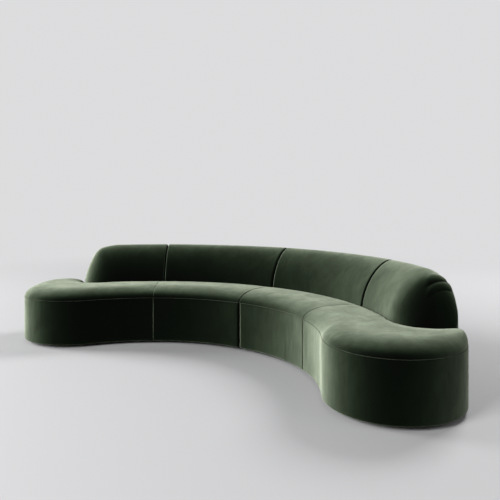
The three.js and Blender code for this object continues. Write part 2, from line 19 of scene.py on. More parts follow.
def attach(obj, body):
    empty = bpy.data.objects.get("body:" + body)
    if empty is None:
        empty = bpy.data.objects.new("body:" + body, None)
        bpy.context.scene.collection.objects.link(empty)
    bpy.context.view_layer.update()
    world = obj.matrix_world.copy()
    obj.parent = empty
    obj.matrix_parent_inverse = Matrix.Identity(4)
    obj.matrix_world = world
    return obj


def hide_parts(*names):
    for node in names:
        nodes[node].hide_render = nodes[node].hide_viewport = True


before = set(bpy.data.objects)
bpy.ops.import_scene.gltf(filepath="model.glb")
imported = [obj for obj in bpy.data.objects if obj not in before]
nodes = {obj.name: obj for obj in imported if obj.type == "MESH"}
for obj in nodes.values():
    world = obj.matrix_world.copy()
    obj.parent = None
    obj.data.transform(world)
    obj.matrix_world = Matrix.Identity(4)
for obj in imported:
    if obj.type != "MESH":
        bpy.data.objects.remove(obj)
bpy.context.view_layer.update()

# %% [markdown]
# ## The camera
#
# The photograph was taken with a level camera about 1.2 m above the floor. A level camera keeps
# upright edges upright. Its picture is moved down with the lens shift, as with a view camera, and
# not by tilting it, which would make the walls of the base lean.

# %% Place the camera
camera_place = (2.673, -3.660, 1.212)
camera_turn = radians(35.13)
camera_lens = 43.34
camera_shift = -0.1199

camera = bpy.data.objects.new("camera", bpy.data.cameras.new("camera"))
bpy.context.collection.objects.link(camera)
camera.location = camera_place
camera.rotation_euler = (pi / 2, 0, camera_turn)
camera.data.lens = camera_lens
camera.data.shift_y = camera_shift
bpy.context.scene.camera = camera
print("camera:", camera_place, "lens:", camera_lens)

# %% [markdown]
# ## Writing shader sums as Python
#
# A finish is a network of small nodes. It reads better as a sum, such as `pile * 0.4 + 0.2`, so one
# small class wraps a node's socket and adds the Math node that each sign stands for. Any other node
# comes from the `node` method of a finish.


# %% A socket that can be reckoned with, and a finish
class Wire:
    """One output of a node. The signs + - * and the named sums add Math nodes to its finish."""

    def __init__(self, finish, socket):
        self.finish, self.socket = finish, socket

    def math(self, operation, *others):
        return self.finish.node("ShaderNodeMath", {"operation": operation}, dict(enumerate((self, *others))))

    def __add__(self, other):
        return self.math("ADD", other)

    def __sub__(self, other):
        return self.math("SUBTRACT", other)

    def __rsub__(self, other):
        return self.finish.node("ShaderNodeMath", {"operation": "SUBTRACT"}, {0: other, 1: self})

    def __mul__(self, other):
        return self.math("MULTIPLY", other)

    def __pow__(self, other):
        return self.math("POWER", other)

    __radd__, __rmul__ = __add__, __mul__

    def ramp(self, low, high):
        """0 up to low, 1 from high on, and a smooth slope between."""
        sockets = {"Value": self, "From Min": low, "From Max": high}
        return self.finish.node("ShaderNodeMapRange", {"interpolation_type": "SMOOTHSTEP"}, sockets)


class Finish:
    """A material with one Principled shader, whose nodes are added one call at a time."""

    def __init__(self, name, **sockets):
        self.material = bpy.data.materials.new(name)
        self.material.use_nodes = True
        self.tree = self.material.node_tree
        self.shader = next(n for n in self.tree.nodes if n.type == "BSDF_PRINCIPLED")
        self.place = self.node("ShaderNodeTexCoord", {}, {}, "Object")
        self.set(**sockets)

    def feed(self, target, value):
        if isinstance(value, Wire):
            self.tree.links.new(value.socket, target)
        elif isinstance(value, tuple) and len(value) == 3 and target.type == "RGBA":
            target.default_value = (*value, 1)
        else:
            target.default_value = value

    def node(self, kind, settings, sockets, output=0):
        made = self.tree.nodes.new(kind)
        for key, value in settings.items():
            setattr(made, key, value)
        for key, value in sockets.items():
            self.feed(made.inputs[key], value)
        return Wire(self, made.outputs[output])

    def set(self, **sockets):
        """Sockets of the Principled shader, by their names with _ for a space."""
        for key, value in sockets.items():
            self.feed(self.shader.inputs[key.replace("_", " ")], value)
        return self

    def stretched(self, scale):
        return self.node("ShaderNodeMapping", {}, {"Vector": self.place, "Scale": scale})

    def noise(self, scale, detail=2.0, where=None, **sockets):
        inputs = {"Vector": where or self.place, "Scale": scale, "Detail": detail, **sockets}
        return self.node("ShaderNodeTexNoise", {}, inputs)

    def wave(self, axis, scale):
        """Stripes that follow one another along an axis."""
        inputs = {"Vector": self.place, "Scale": scale}
        return self.node("ShaderNodeTexWave", {"bands_direction": axis}, inputs)

    def cells(self, feature, scale):
        """Distances to scattered places."""
        inputs = {"Vector": self.place, "Scale": scale}
        return self.node("ShaderNodeTexVoronoi", {"feature": feature}, inputs)

    def blend(self, share, first, last):
        """A colour that goes from first to last as share goes from 0 to 1."""
        return self.node("ShaderNodeMix", {"data_type": "RGBA"}, {0: share, 6: first, 7: last}, 2)

    def bump(self, height, distance, strength=1.0):
        sockets = {"Height": height, "Distance": distance, "Strength": strength}
        bumped = self.node("ShaderNodeBump", {}, sockets)
        self.set(Normal=bumped)
        return bumped

    def over(self, share, shader):
        """Lays another shader over all that the finish shows so far, by a share from 0 to 1."""
        surface = next(n for n in self.tree.nodes if n.type.startswith("OUTPUT")).inputs["Surface"]
        shown = Wire(self, surface.links[0].from_socket)
        laid = self.node("ShaderNodeMixShader", {}, {0: share, 1: shown, 2: shader})
        self.tree.links.new(laid.socket, surface)


print("finishes can be written as sums")

# %% [markdown]
# ## Velvet
#
# Velvet is a pile of short upright fibres. Seen end on, it swallows light and looks almost black.
# Seen along the surface, the sides of the fibres show, which are mid green, and at the very edge
# only their pale tips. That sheen is painted into the finish: two diffuse layers lie over a nearly
# black base, and each has a share that grows with the Facing output of Layer Weight, slowly for the
# sides and steeply for the tips, so the green and the pale edges are painted sheen laid on by the
# angle of view. A hand or a back brushes the pile into soft patches, which lean its fibres over, so
# they change both shares, the roughness and a low bump. In a seam the pile is pressed down, and
# shade is painted there too: each mesh marks how deep in a seam its points are, and both layers fade
# there, which also darkens the gaps, the foot of the backs, the undersides and the fold creases.

# %% Mix the velvet
velvet_root = (0.0034, 0.0040, 0.0033)
# Painted sheen: the colours of the two layers, laid over the root by the angle of view, and how fast each
# grows.
painted_sheen_sides, sides_share, sides_power = (0.063, 0.133, 0.055), 0.6, 1.1
painted_sheen_tips, tips_share, tips_power = (0.690, 0.753, 0.598), 0.8, 2.78
velvet_sheen, sheen_tint = 0.15, (0.62, 0.74, 0.56)
nap_spread, nap_height, nap_strength = 0.6, 0.0009, 0.6
patch_scale, patch_shape, patch_edges = 8.0, (1.0, 1.0, 0.6), (0.3, 0.72)
streak_scale, streak_shape, streak_edges = 38.0, (1.0, 1.0, 0.22), (0.3, 0.75)
pile_scale = 1400.0

velvet = Finish("velvet", Specular_IOR_Level=0.0, Base_Color=velvet_root)
velvet.set(Sheen_Weight=velvet_sheen, Sheen_Roughness=0.25, Sheen_Tint=sheen_tint)
patches = velvet.noise(patch_scale, 3.0, velvet.stretched(patch_shape), Distortion=0.6).ramp(*patch_edges)
streaks = velvet.noise(streak_scale, 3.0, velvet.stretched(streak_shape)).ramp(*streak_edges)
pile = velvet.noise(pile_scale, 2.0)
brushed = patches * 0.5 + streaks * 0.25 + pile * 0.25
velvet.set(Roughness=0.95 - brushed * 0.12)
nap = velvet.bump(pile * 0.5 + streaks * 0.3 + patches * 0.2, nap_height, nap_strength)
facing = velvet.node("ShaderNodeLayerWeight", {}, {"Blend": 0.5, "Normal": nap}, "Facing")
# Painted shade: the seam mark fades both layers in seams, gaps, fold creases, at the feet and underneath.
seam = velvet.node("ShaderNodeAttribute", {"attribute_name": "seam"}, {}, "Fac")
nap_and_seam_shade = (brushed * nap_spread + (1 - nap_spread / 2)) * (1 - seam)
# Each layer paints sheen by the angle of view, and fades where the seam mark paints shade.
for colour, share, steep in ((painted_sheen_sides, sides_share, sides_power), (painted_sheen_tips, tips_share, tips_power)):
    sheen_layer = velvet.node("ShaderNodeBsdfDiffuse", {}, {"Color": colour, "Roughness": 1.0, "Normal": nap})
    velvet.over(facing**steep * nap_and_seam_shade * share, sheen_layer)
print("velvet:", velvet_root, "under", painted_sheen_sides, "and", painted_sheen_tips)

# %% [markdown]
# ## The finishes inside and beneath
#
# The timber frame is birch plywood, the straps under the foam are woven black elastic, the cloth
# under the base is black non-woven felt, the glides are moulded plastic and the connectors are
# zinc-plated steel. Plywood shows its layers where it is cut, so its stripes run up the edge.

# %% Mix the plywood, webbing, felt, plastic and steel
birch_dark, birch_pale, birch_line = (0.56, 0.36, 0.19), (0.72, 0.52, 0.31), (0.38, 0.23, 0.12)
elastic_dark, elastic_pale = (0.012, 0.013, 0.014), (0.055, 0.058, 0.062)
felt_dark, felt_pale = (0.008, 0.008, 0.009), (0.03, 0.03, 0.032)
plastic_black, plastic_worn = (0.012, 0.012, 0.013), (0.05, 0.05, 0.05)
zinc_dark, zinc_pale = (0.45, 0.46, 0.47), (0.66, 0.67, 0.68)
ply_scale, weave_scale, felt_scale, spangle_scale = 220.0, 120.0, 420.0, 90.0

plywood = Finish("plywood", Specular_IOR_Level=0.35)
grain = plywood.noise(9.0, 6.0, plywood.stretched((1.0, 7.0, 1.0)), Distortion=1.2)
fibres = plywood.noise(160.0, 3.0, plywood.stretched((0.15, 1.0, 1.0)))
birch = plywood.blend(grain.ramp(0.3, 0.7), birch_dark, birch_pale)
plies = plywood.wave("Z", ply_scale).ramp(0.35, 0.6)
plywood.set(Base_Color=plywood.blend(plies * 0.3 + fibres * 0.2, birch, birch_line))
plywood.set(Roughness=fibres * 0.2 + 0.5).bump(fibres, 0.0006, 0.5)

webbing = Finish("webbing", Specular_IOR_Level=0.25)
warp, weft = webbing.wave("X", weave_scale), webbing.wave("Y", weave_scale)
webbing.set(Base_Color=webbing.blend(warp * weft, elastic_dark, elastic_pale))
webbing.set(Roughness=warp * 0.15 + 0.75).bump(warp * weft, 0.0008)

felt = Finish("dust_cloth", Specular_IOR_Level=0.2)
fluff = felt.noise(260.0, 5.0)
felt.set(Base_Color=felt.blend(fluff, felt_dark, felt_pale))
felt.set(Roughness=fluff * 0.1 + 0.85).bump(felt.cells("SMOOTH_F1", felt_scale), 0.0006)

plastic = Finish("glide_plastic", Specular_IOR_Level=0.45)
scuffs = plastic.noise(300.0, 4.0, plastic.stretched((1.0, 0.2, 1.0)))
plastic.set(Base_Color=plastic.blend(scuffs.ramp(0.5, 0.9), plastic_black, plastic_worn))
plastic.set(Roughness=scuffs * 0.3 + 0.3).bump(plastic.noise(1800.0), 0.0002, 0.4)

steel = Finish("steel", Metallic=1.0)
spangle = steel.cells("F1", spangle_scale)
rolled = steel.noise(500.0, 3.0, steel.stretched((0.1, 1.0, 1.0)))
steel.set(Base_Color=steel.blend(spangle * 1.4, zinc_dark, zinc_pale))
steel.set(Roughness=rolled * 0.2 + spangle * 0.15 + 0.2).bump(rolled, 0.0001, 0.4)
print("five more finishes")

# %% [markdown]
# ## The plan of the sofa
#
# Every curve of the plan is part of one family: two arcs about one centre, a half ellipse round
# each end, and seams on straight lines that pass near the centre. The numbers are those of the CAD
# model, but the face of the outer backs is drawn with a longer round at its end, `face_nose`, which
# stays inside that model's solid. `polar` turns a radius and an angle from the middle of the sofa
# into a place on the floor.

# %% Sizes of the plan and of the sections
curve_centre = -1.17852
front_radius, band_depth = 1.172, 0.812
rear_radius, middle_radius = front_radius + band_depth, front_radius + band_depth / 2
wing_angle, seam_angle, back_seam_angle = radians(59.6), radians(35.4), radians(34.5)
end_reach = 0.434
floor_gap, welt_height, crown, back_height = 0.025, 0.362, 0.078, 0.727
pad_base = welt_height + 0.0003
seat_depth, foot_gap = 0.448, 0.003
face_radius = front_radius + seat_depth + foot_gap
seat_roll = 0.200
gutter_roll, gutter_depth = (0.120, 0.250), (0.038, 0.060)
lean_start, lean_power, rear_round = 0.400, 1.65, 0.129
crest_radius = rear_radius - rear_round
back_end_angle = radians(57.1)
shoulder_reach, shoulder_crest, shoulder_foot, shoulder_share = 0.160, 2.2, 1.2, 0.75
fall_reach, fall_power = 0.310, 2
face_nose, rear_nose = (0.250, 2.05), (0.070, 3.4)
rear_tuck = 0.014


def polar(radius, angle):
    return np.array((radius * sin(angle), radius * cos(angle) + curve_centre))


def turn_at(angle, offset):
    """The plan angle at which a circle meets a line that stands off a radius."""
    return lambda radius: angle + asin(offset / radius)


def mix(first, last, share):
    return first + (last - first) * share


def power(value, exponent):
    return np.sign(value) * abs(value) ** (2 / exponent)


print("band from", front_radius, "to", rear_radius)

# %% [markdown]
# ## Seams
#
# Where the halves part, and between the backs, two padded edges stand a few millimetres apart and
# roll into the gap with a soft radius. Where two covers are sewn together, each only dips to the
# stitch line. Both are made as extra rows of points that close in on the seam, so the pinch is in the
# mesh. One row lies close to the first and keeps the edge of the seam crisp when it is smoothed.


# %% Rows of points at and between seams
edge_share = 0.08


def upright_seam(angle, gap, roll, first_turn, steps, sunk):
    """A seam that starts a piece. Its rows turn from first_turn up to the open surface."""
    turns = np.linspace(first_turn, pi / 2, steps)
    turns = np.insert(turns, 1, mix(turns[0], turns[1], edge_share))
    return {"angle": angle, "side": 1, "gap": gap, "roll": roll, "turns": turns, "sunk": sunk}


def seam_rows(seam, inset):
    """The rows of points at a seam, from the deepest to the open surface."""
    sunk = inset if seam["sunk"] else 0
    roll = max(seam["roll"] - sunk, 0)
    first = cos(seam["turns"][0])
    rows = []
    for theta in seam["turns"]:
        shift = seam["side"] * (seam["gap"] + sunk + roll * (first - cos(theta)))
        rows.append((turn_at(seam["angle"], shift), inset + roll * (1 - sin(theta))))
    return rows


def rows_between(start, end, steps, inset):
    """Rows from one seam to the other. Each has the angle it lies at and how far it is drawn in."""
    first, last = seam_rows(start, inset), seam_rows(end, inset)[::-1]
    begin, finish = first[-1][0], last[0][0]
    middle = [
        (lambda radius, share=step / steps: mix(begin(radius), finish(radius), share), inset)
        for step in range(1, steps)
    ]
    return [*first, *middle, *last]


half_gap, seat_gap, back_gap, sewn_gap = 0.002, 0.001, 0.004, 0.00015
gap_steps, sewn_steps = 6, 5
break_seam = upright_seam(0, half_gap, 0.016, 0, gap_steps, True)
seat_break = upright_seam(0, seat_gap, 0.006, 0, gap_steps, True)
back_start = upright_seam(back_seam_angle, back_gap, 0.013, 0, gap_steps, True)
back_end = {**back_start, "side": -1}
middle_back_start = {**back_start, "angle": 0}
sewn_start = upright_seam(seam_angle, sewn_gap, 0.006, radians(25), sewn_steps, False)
sewn_end = {**sewn_start, "side": -1}
print("rows at a gap:", len(break_seam["turns"]), "and at a stitch line:", len(sewn_start["turns"]))

# %% [markdown]
# ## Turning grids of points into closed meshes
#
# A cushion is a stack of sections, each a loop of points. Quads join the loops, and the two ends are
# closed with a ladder of quads, from the top of the section to its underside. Even quads matter
# twice: cloth simulates well on them, and velvet shows every kink in a mesh as a bright line.


# %% Stack sections into a mesh
def spaced(points, count):
    """The same line with points at even distances."""
    points = np.array(points, float)
    steps = np.linalg.norm(np.diff(points, axis=0), axis=1)
    run = np.concatenate(([0], np.cumsum(steps)))
    places = np.linspace(0, run[-1], count)
    return np.stack([np.interp(places, run, points[:, axis]) for axis in range(points.shape[1])], 1)


def quarter(steps):
    return np.linspace(0, pi / 2, steps + 1)


def ladder(loop, single):
    """Faces that close a loop. single is True where the loop's two ends are one point."""
    faces = [(loop[0], loop[1], loop[-1])] if single else []
    low, high = (1, len(loop) - 1) if single else (0, len(loop) - 1)
    while low + 1 < high - 1:
        faces.append((loop[low], loop[low + 1], loop[high - 1], loop[high]))
        low, high = low + 1, high - 1
    if low + 1 == high - 1:
        faces.append((loop[low], loop[low + 1], loop[high]))
    return faces


def turned(faces):
    return [face[::-1] for face in faces]


def sheet_faces(index, closed):
    """Quads over a grid of point numbers. closed joins each row's last point to its first."""
    ahead = np.roll(index, -1, axis=1)
    quads = np.stack([index[:-1], index[1:], ahead[1:], ahead[:-1]], -1)
    if not closed:
        quads = quads[:, :-1]
    return [tuple(face) for face in quads.reshape(-1, 4).tolist()]


def closed_mesh(name, points, faces):
    """An object from points and faces that all turn the same way, outwards or inwards."""
    mesh = bpy.data.meshes.new(name)
    mesh.from_pydata(points.tolist(), [], faces)
    work = bmesh.new()
    work.from_mesh(mesh)
    faults = sum(not edge.is_contiguous for edge in work.edges)
    if work.calc_volume(signed=True) < 0:
        bmesh.ops.reverse_faces(work, faces=work.faces)
    work.to_mesh(mesh)
    work.free()
    made = bpy.data.objects.new(name, mesh)
    bpy.context.collection.objects.link(made)
    print(name, "has", len(mesh.vertices), "points and", faults, "bad edges")
    return made


def stack(name, sections, single):
    """A closed solid from a list of looped sections."""
    sections = np.array(sections)
    index = np.arange(sections.shape[0] * sections.shape[1]).reshape(sections.shape[:2])
    faces = sheet_faces(index, True)
    faces += ladder(index[0].tolist(), single) + turned(ladder(index[-1].tolist(), single))
    return closed_mesh(name, sections.reshape(-1, 3), faces)


def hood(name, outer, inner):
    """A shell between an outer and an inner stack of open sections, open below."""
    outer, inner = np.array(outer), np.array(inner)
    index = np.arange(outer.shape[0] * outer.shape[1]).reshape(outer.shape[:2])
    shell = sheet_faces(index, False)
    shell += ladder(index[0].tolist(), False) + turned(ladder(index[-1].tolist(), False))
    rim = index[:, 0].tolist() + index[::-1, -1].tolist()
    faces = shell + [tuple(point + index.size for point in face[::-1]) for face in shell]
    for here, there in zip(rim, rim[1:] + rim[:1]):
        faces.append((there, here, here + index.size, there + index.size))
    return closed_mesh(name, np.concatenate([outer.reshape(-1, 3), inner.reshape(-1, 3)]), faces)


# %% [markdown]
# ## Swelling a cushion with cloth
#
# A cushion is foam in a tight cover. The foam presses outwards and the seams hold, which is what a
# cloth simulation with pressure does: the points at the seams and underneath are held, and the rest
# is blown up for 20 frames without gravity. How far each point moves along its normal is evened out
# and capped, gently, so that the cover crowns by a few millimetres and keeps a trace of its creases.
# One subdivision then smooths it.


# %% Swell and smooth
def only(piece):
    bpy.ops.object.select_all(action="DESELECT")
    piece.select_set(True)
    bpy.context.view_layer.objects.active = piece


def points_of(mesh):
    points = np.empty(len(mesh.vertices) * 3)
    mesh.vertices.foreach_get("co", points)
    return points.reshape(-1, 3)


def normals_of(mesh):
    normals = np.empty(len(mesh.vertices) * 3)
    mesh.vertices.foreach_get("normal", normals)
    return normals.reshape(-1, 3)


def evened(mesh, amounts, held, passes):
    """Amounts at the points, each drawn to its neighbours' mean, pass by pass. Held points stay at zero."""
    ends = np.empty(len(mesh.edges) * 2, int)
    mesh.edges.foreach_get("vertices", ends)
    here, there = np.concatenate([ends.reshape(-1, 2), ends.reshape(-1, 2)[:, ::-1]]).T
    neighbours = np.bincount(here, minlength=len(amounts))
    for _ in range(passes):
        amounts = np.where(held, 0, np.bincount(here, amounts[there], len(amounts)) / neighbours)
    return amounts


def swell(piece, held, cap):
    """Blows up all but the held points, by no more than cap."""
    group = piece.vertex_groups.new(name="held")
    group.add(np.flatnonzero(held).tolist(), 1.0, "REPLACE")
    cloth = piece.modifiers.new("cloth", "CLOTH")
    settings = cloth.settings
    settings.quality = 4
    settings.mass = 0.3
    settings.tension_stiffness = settings.compression_stiffness = 25
    settings.bending_stiffness = 2.0
    settings.use_pressure = True
    settings.uniform_pressure_force = swell_pressure
    settings.vertex_group_mass = "held"
    settings.effector_weights.gravity = 0
    scene = bpy.context.scene
    for step in range(1, swell_frames + 1):
        scene.frame_set(step)
    rest = points_of(piece.data)
    moved = points_of(piece.evaluated_get(bpy.context.evaluated_depsgraph_get()).to_mesh()) - rest
    piece.modifiers.remove(cloth)
    outwards = normals_of(piece.data)
    far = np.einsum("ij,ij->i", moved, outwards)
    swollen = evened(piece.data, np.maximum(far, 0), held, evening_passes)
    creased = wrinkle_share * (far - swollen)
    capped = cap * np.tanh((swollen + creased) / cap)
    piece.data.vertices.foreach_set("co", (rest + outwards * capped[:, None]).ravel())
    piece.data.update()
    piece.vertex_groups.clear()
    scene.frame_set(1)
    print(piece.name, "swelled by at most", round(float(far.max()) * 1000, 1), "mm before the cap")


def smooth(piece):
    only(piece)
    fine = piece.modifiers.new("subdivision", "SUBSURF")
    fine.levels = fine.render_levels = 1
    bpy.ops.object.modifier_apply(modifier=fine.name)
    bpy.ops.object.shade_smooth()


def paint_seam_shade(piece, depths):
    """Marks how deep in a seam each point is, from 0 in the open to 1 at the stitches; the velvet paints
    shade by this mark.
    """
    marks = piece.data.attributes.new("seam", "FLOAT", "POINT")
    marks.data.foreach_set("value", np.clip(depths, 0, 1).ravel())


def seam_shade_of(shape, across, along):
    """Depths of painted shade for a stack of sections: the deeper of the one across the sections and the one
    along them.
    """
    return np.maximum(np.reshape(across, (-1, 1)), np.reshape(along, (1, -1))) * np.ones(shape)


swell_cap, swell_pressure, swell_frames = 0.0035, 4.0, 20
evening_passes, wrinkle_share = 30, 0.08
skin_inset = 0.002
print("pressure is", "on")

# %% [markdown]
# ## Two halves from one
#
# The halves mirror each other. A piece is made for the right half and swelled once. Its copy for
# the left half has its own mesh, mirrored, with its faces turned so that they look outwards again.


# %% Finish a pair of pieces
def fit_out(piece, half, finish, stands_for):
    piece.data.materials.clear()
    piece.data.materials.append(finish.material)
    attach(piece, half + "_half")
    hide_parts(*[half + "_" + node for node in stands_for])


def pair(piece, name, finish, stands_for):
    other = piece.copy()
    other.data = piece.data.copy()
    bpy.context.collection.objects.link(other)
    other.data.transform(Matrix.Scale(-1, 4, (1, 0, 0)))
    other.data.flip_normals()
    for half, made in (("right", piece), ("left", other)):
        made.name = made.data.name = half + "_" + name
        fit_out(made, half, finish, stands_for)
    print("made", piece.name, "and", other.name)
    return piece, other


# %% [markdown]
# ## Seat cushions
#
# From the seam at its foot a seat rolls up and in to a broad crown, and at the foot of the back it
# rolls down into a gutter. The section is drawn once, as a line from the front to the back, and
# scaled to the width that the seat has at each place.

# %% Draw the section of a seat
seat_tuck, short_share = 0.003, 0.93
top_points, foot_points, roll_steps, gutter_steps, tuck_steps = 38, 4, 24, 16, 3
# Painted shade: how far a cover is drawn into a seam where it starts and where it is full, and its depths
# along the front tuck.
seam_shade_start, seam_shade_depth = 0.002, 0.005
seat_shade_depths = (0.7, 0.5, 0.2)
end_hold = 3


def seat_section(width, drawn, turned):
    """Places along the width and heights over the seam, from the front over the top and back below."""
    gutter_width, depth = mix(*gutter_roll, turned), mix(*gutter_depth, turned)
    share = min(width / (seat_roll + gutter_width), 1)
    fullness = min(share, short_share * width / (seat_roll + gutter_width))
    swollen = sqrt(1 - (1 - share) ** 2)
    rise, drop = crown * swollen - drawn, depth * swollen
    tuck = min(seat_tuck, rise / 3)
    roll, gutter = (seat_roll - drawn) * fullness, (gutter_width - drawn) * fullness
    over = [(roll * (1 - cos(t)), tuck + (rise - tuck) * sin(t)) for t in quarter(roll_steps)]
    over += [(width - gutter * (1 - sin(t)), rise - drop * (1 - cos(t))) for t in quarter(gutter_steps)]
    front = [(tuck * (1 - sin(t)), tuck * (1 - cos(t))) for t in quarter(tuck_steps)[:-1]]
    foot = [(width, height) for height in np.linspace(rise - drop, tuck, foot_points + 1)[1:]]
    foot += [(width - tuck * (1 - cos(t)), tuck * (1 - sin(t))) for t in quarter(tuck_steps - 1)[1:]]
    top = np.concatenate([front, spaced(over, top_points), foot])
    below = np.linspace(top[-1], top[0], len(top))[1:-1]
    return np.concatenate([top, below])


def seat(name, rails):
    """A cushion over rails. Each has its front place, its place at the foot of the back, how far it
    is drawn in, and its share of the rounded end's wider gutter."""
    sections = []
    for edge, foot, drawn, turned in rails:
        width = np.linalg.norm(foot - edge)
        section = seat_section(width, drawn, turned)
        plan = edge + (foot - edge) * (section[:, :1] / width)
        sections.append(np.column_stack([plan, section[:, 1] + pad_base]))
    made = stack(name, sections, True)
    shape = np.shape(sections)[:2]
    held = np.ones(shape, bool)
    held[end_hold:-end_hold, tuck_steps + 1 : top_points - 1] = False
    swell(made, held.ravel(), swell_cap)
    # Painted shade: darker where the cover is drawn into a seam, along the front tuck, at the foot of the
    # back and underneath.
    drawn = np.array([rail[2] for rail in rails])
    along = np.zeros(shape[1])
    along[: len(seat_shade_depths)] = seat_shade_depths
    along[top_points + tuck_steps :] = 1
    paint_seam_shade(made, seam_shade_of(shape, (drawn - skin_inset - seam_shade_start) / seam_shade_depth, along))
    smooth(made)
    return made


def rails_of(rows):
    rails = []
    for turn, drawn in rows:
        front, foot = front_radius + drawn, face_radius - foot_gap - drawn
        rails.append((polar(front, turn(front)), polar(foot, turn(foot)), drawn, 0))
    return rails


# %% Make the middle seats
seat_rows = 64
middle_rows = rows_between(seat_break, sewn_end, seat_rows, skin_inset)
pair(seat("seat_middle", rails_of(middle_rows)), "seat_middle", velvet,
     ["seat_cover_middle", "seat_foam_middle"])

# %% [markdown]
# ## The rounded ends of the seat
#
# At each end the seat swings round in a half ellipse, and its sections turn with it, like the ribs
# of a fan about the rounded end of the back. The outer ends of the ribs lie on the ellipse, and
# their inner ends on a fuller curve that follows the back.


# %% Fan the sections round the end
straight_rails, cap_rails, rear_rails = 28, 92, 6


def cap_point(inset, phi):
    """A place on the half ellipse round the end, from its front at -pi/2 to its rear at pi/2."""
    along = np.array((sin(wing_angle), cos(wing_angle)))
    across = np.array((along[1], -along[0]))
    out, reach = (band_depth / 2 - inset) * sin(phi), (end_reach - inset) * cos(phi)
    return polar(middle_radius, wing_angle) + along * out + across * reach


def nose_point(share, inset):
    """A radius and an angle on the curve round the back's end, from its face at 0 to its rear at 1."""
    last = asin(((rear_round - rear_tuck + inset) / (rear_round + inset)) ** (rear_nose[1] / 2))
    phi = mix(-pi / 2, last, share)
    reach, bend = face_nose if phi < 0 else rear_nose
    half = (crest_radius - face_radius if phi < 0 else rear_round) + inset
    radius = crest_radius + half * power(sin(phi), bend)
    inwards = reach - (reach + inset) * power(cos(phi), bend)
    return radius, turn_at(back_end_angle, -inwards)(radius)


def end_rails(inset):
    rows = seam_rows(sewn_start, inset)
    rails, seam = rails_of(rows), rows[-1][0]
    front, foot = front_radius + inset, face_radius - foot_gap - inset
    nose = turn_at(back_end_angle, -face_nose[0])(foot)
    for share in np.linspace(0, 1, straight_rails + 2)[1:-1]:
        edge = polar(front, mix(seam(front), wing_angle, share))
        rails.append((edge, polar(foot, mix(seam(foot), nose, share)), inset, 0))
    rear = rear_radius - inset
    edges = [cap_point(inset, phi) for phi in np.linspace(-pi / 2, pi / 2, cap_rails)]
    last = nose_point(1, inset + foot_gap)[1]
    edges += [polar(rear, angle) for angle in np.linspace(wing_angle, last, rear_rails + 1)[1:]]
    for edge, share in zip(edges, np.linspace(0, 1, len(edges))):
        turned_share = sin(min(2 * share, 1) * pi / 2)
        rails.append((edge, polar(*nose_point(share, inset + foot_gap)), inset, turned_share))
    return rails


pair(seat("seat_end", end_rails(skin_inset)), "seat_end", velvet,
     ["seat_cover_end", "seat_foam_end"])

# %% [markdown]
# ## Side walls
#
# Round the base a thin pad is stretched over bent plywood. It is a strip with a rolled edge, above
# along the seam under the seat and below where it is turned under the base. The same strip is swept
# along the plan: for the middle section round the break, and for the end section round the end. It
# swells between its seams and its corners, which are held.

# %% Sweep the side walls
side_padding = 0.009
hem_roll, hem_steps, rim_roll, rim_steps, wall_points = 0.008, 4, 0.002, 3, 26
# Painted shade along the top rim of a wall.
wall_shade_depths = (0.15, 0.5, 0.8)
corner_hold, bend_hold = 5, 2
side_rows, side_across, cap_places, side_run = 56, 38, 200, 190
front_places, rear_places = 60, 80


def side_section():
    """How far in and how high, up the outside and down the inside."""
    low, high = floor_gap, welt_height
    outer = [(hem_roll * (1 - sin(t)), low + hem_roll * (1 - cos(t))) for t in quarter(hem_steps)]
    outer += [(0, height) for height in np.linspace(low + hem_roll, high - rim_roll, wall_points)[1:-1]]
    outer += [(rim_roll * (1 - cos(t)), high - rim_roll * (1 - sin(t))) for t in quarter(rim_steps)]
    inner = [(side_padding, height) for height in np.linspace(high, low, len(outer))]
    return np.array(outer + inner)


def side(name, path, drawn, inside, cushioned):
    """A strip swept along a plan line. drawn is how far each place of it is drawn into a seam, inside
    is a place behind the strip, and cushioned is where along it the pad may swell."""
    path = np.array(path)
    step = np.gradient(path, axis=0)
    inwards = np.stack([step[:, 1], -step[:, 0]], 1) / np.linalg.norm(step, axis=1)[:, None]
    middle = len(path) // 2
    inwards *= np.sign((inside - path[middle]) @ inwards[middle])
    section = side_section()
    sections = [
        np.column_stack([place + inward * section[:, :1], section[:, 1]])
        for place, inward in zip(path, inwards)
    ]
    made = stack(name, sections, False)
    shape = np.shape(sections)[:2]
    held = np.ones(shape, bool)
    for first, last in cushioned:
        held[first:last, end_hold : wall_points + end_hold] = False
    swell(made, held.ravel(), swell_cap / 2)
    # Painted shade: darker where the strip is drawn into a seam, along its top rim and on its inside.
    along = np.zeros(shape[1])
    half = shape[1] // 2
    along[half - len(wall_shade_depths) : half] = wall_shade_depths
    along[half:] = 1
    paint_seam_shade(made, seam_shade_of(shape, (np.array(drawn) - seam_shade_start) / seam_shade_depth, along))
    smooth(made)
    return made


def on_front(rows):
    return [polar(front_radius + drawn, turn(front_radius + drawn)) for turn, drawn in rows]


def on_rear(rows):
    return [polar(rear_radius - drawn, turn(rear_radius - drawn)) for turn, drawn in rows]


def arc(radius, first, last, count):
    return [polar(radius, angle) for angle in np.linspace(first, last, count)]


rows = rows_between(break_seam, sewn_end, side_rows, 0.0)
front_line, rear_line = on_front(rows)[::-1], on_rear(rows)
across = np.linspace(front_line[-1], rear_line[0], side_across + 2)[1:-1]
middle_path = [*front_line, *across, *rear_line]
drawn = [row[1] for row in rows]
middle_drawn = [*drawn[::-1], *[drawn[0]] * side_across, *drawn]
turn, back_turn = len(front_line), len(front_line) + side_across
cushioned = [(end_hold, turn - corner_hold), (turn + bend_hold, back_turn - bend_hold)]
cushioned.append((back_turn + corner_hold, len(middle_path) - end_hold))
side_middle = side("side_middle", middle_path, middle_drawn, polar(middle_radius, seam_angle / 2), cushioned)
pair(side_middle, "side_middle", velvet, ["side_cover_middle"])

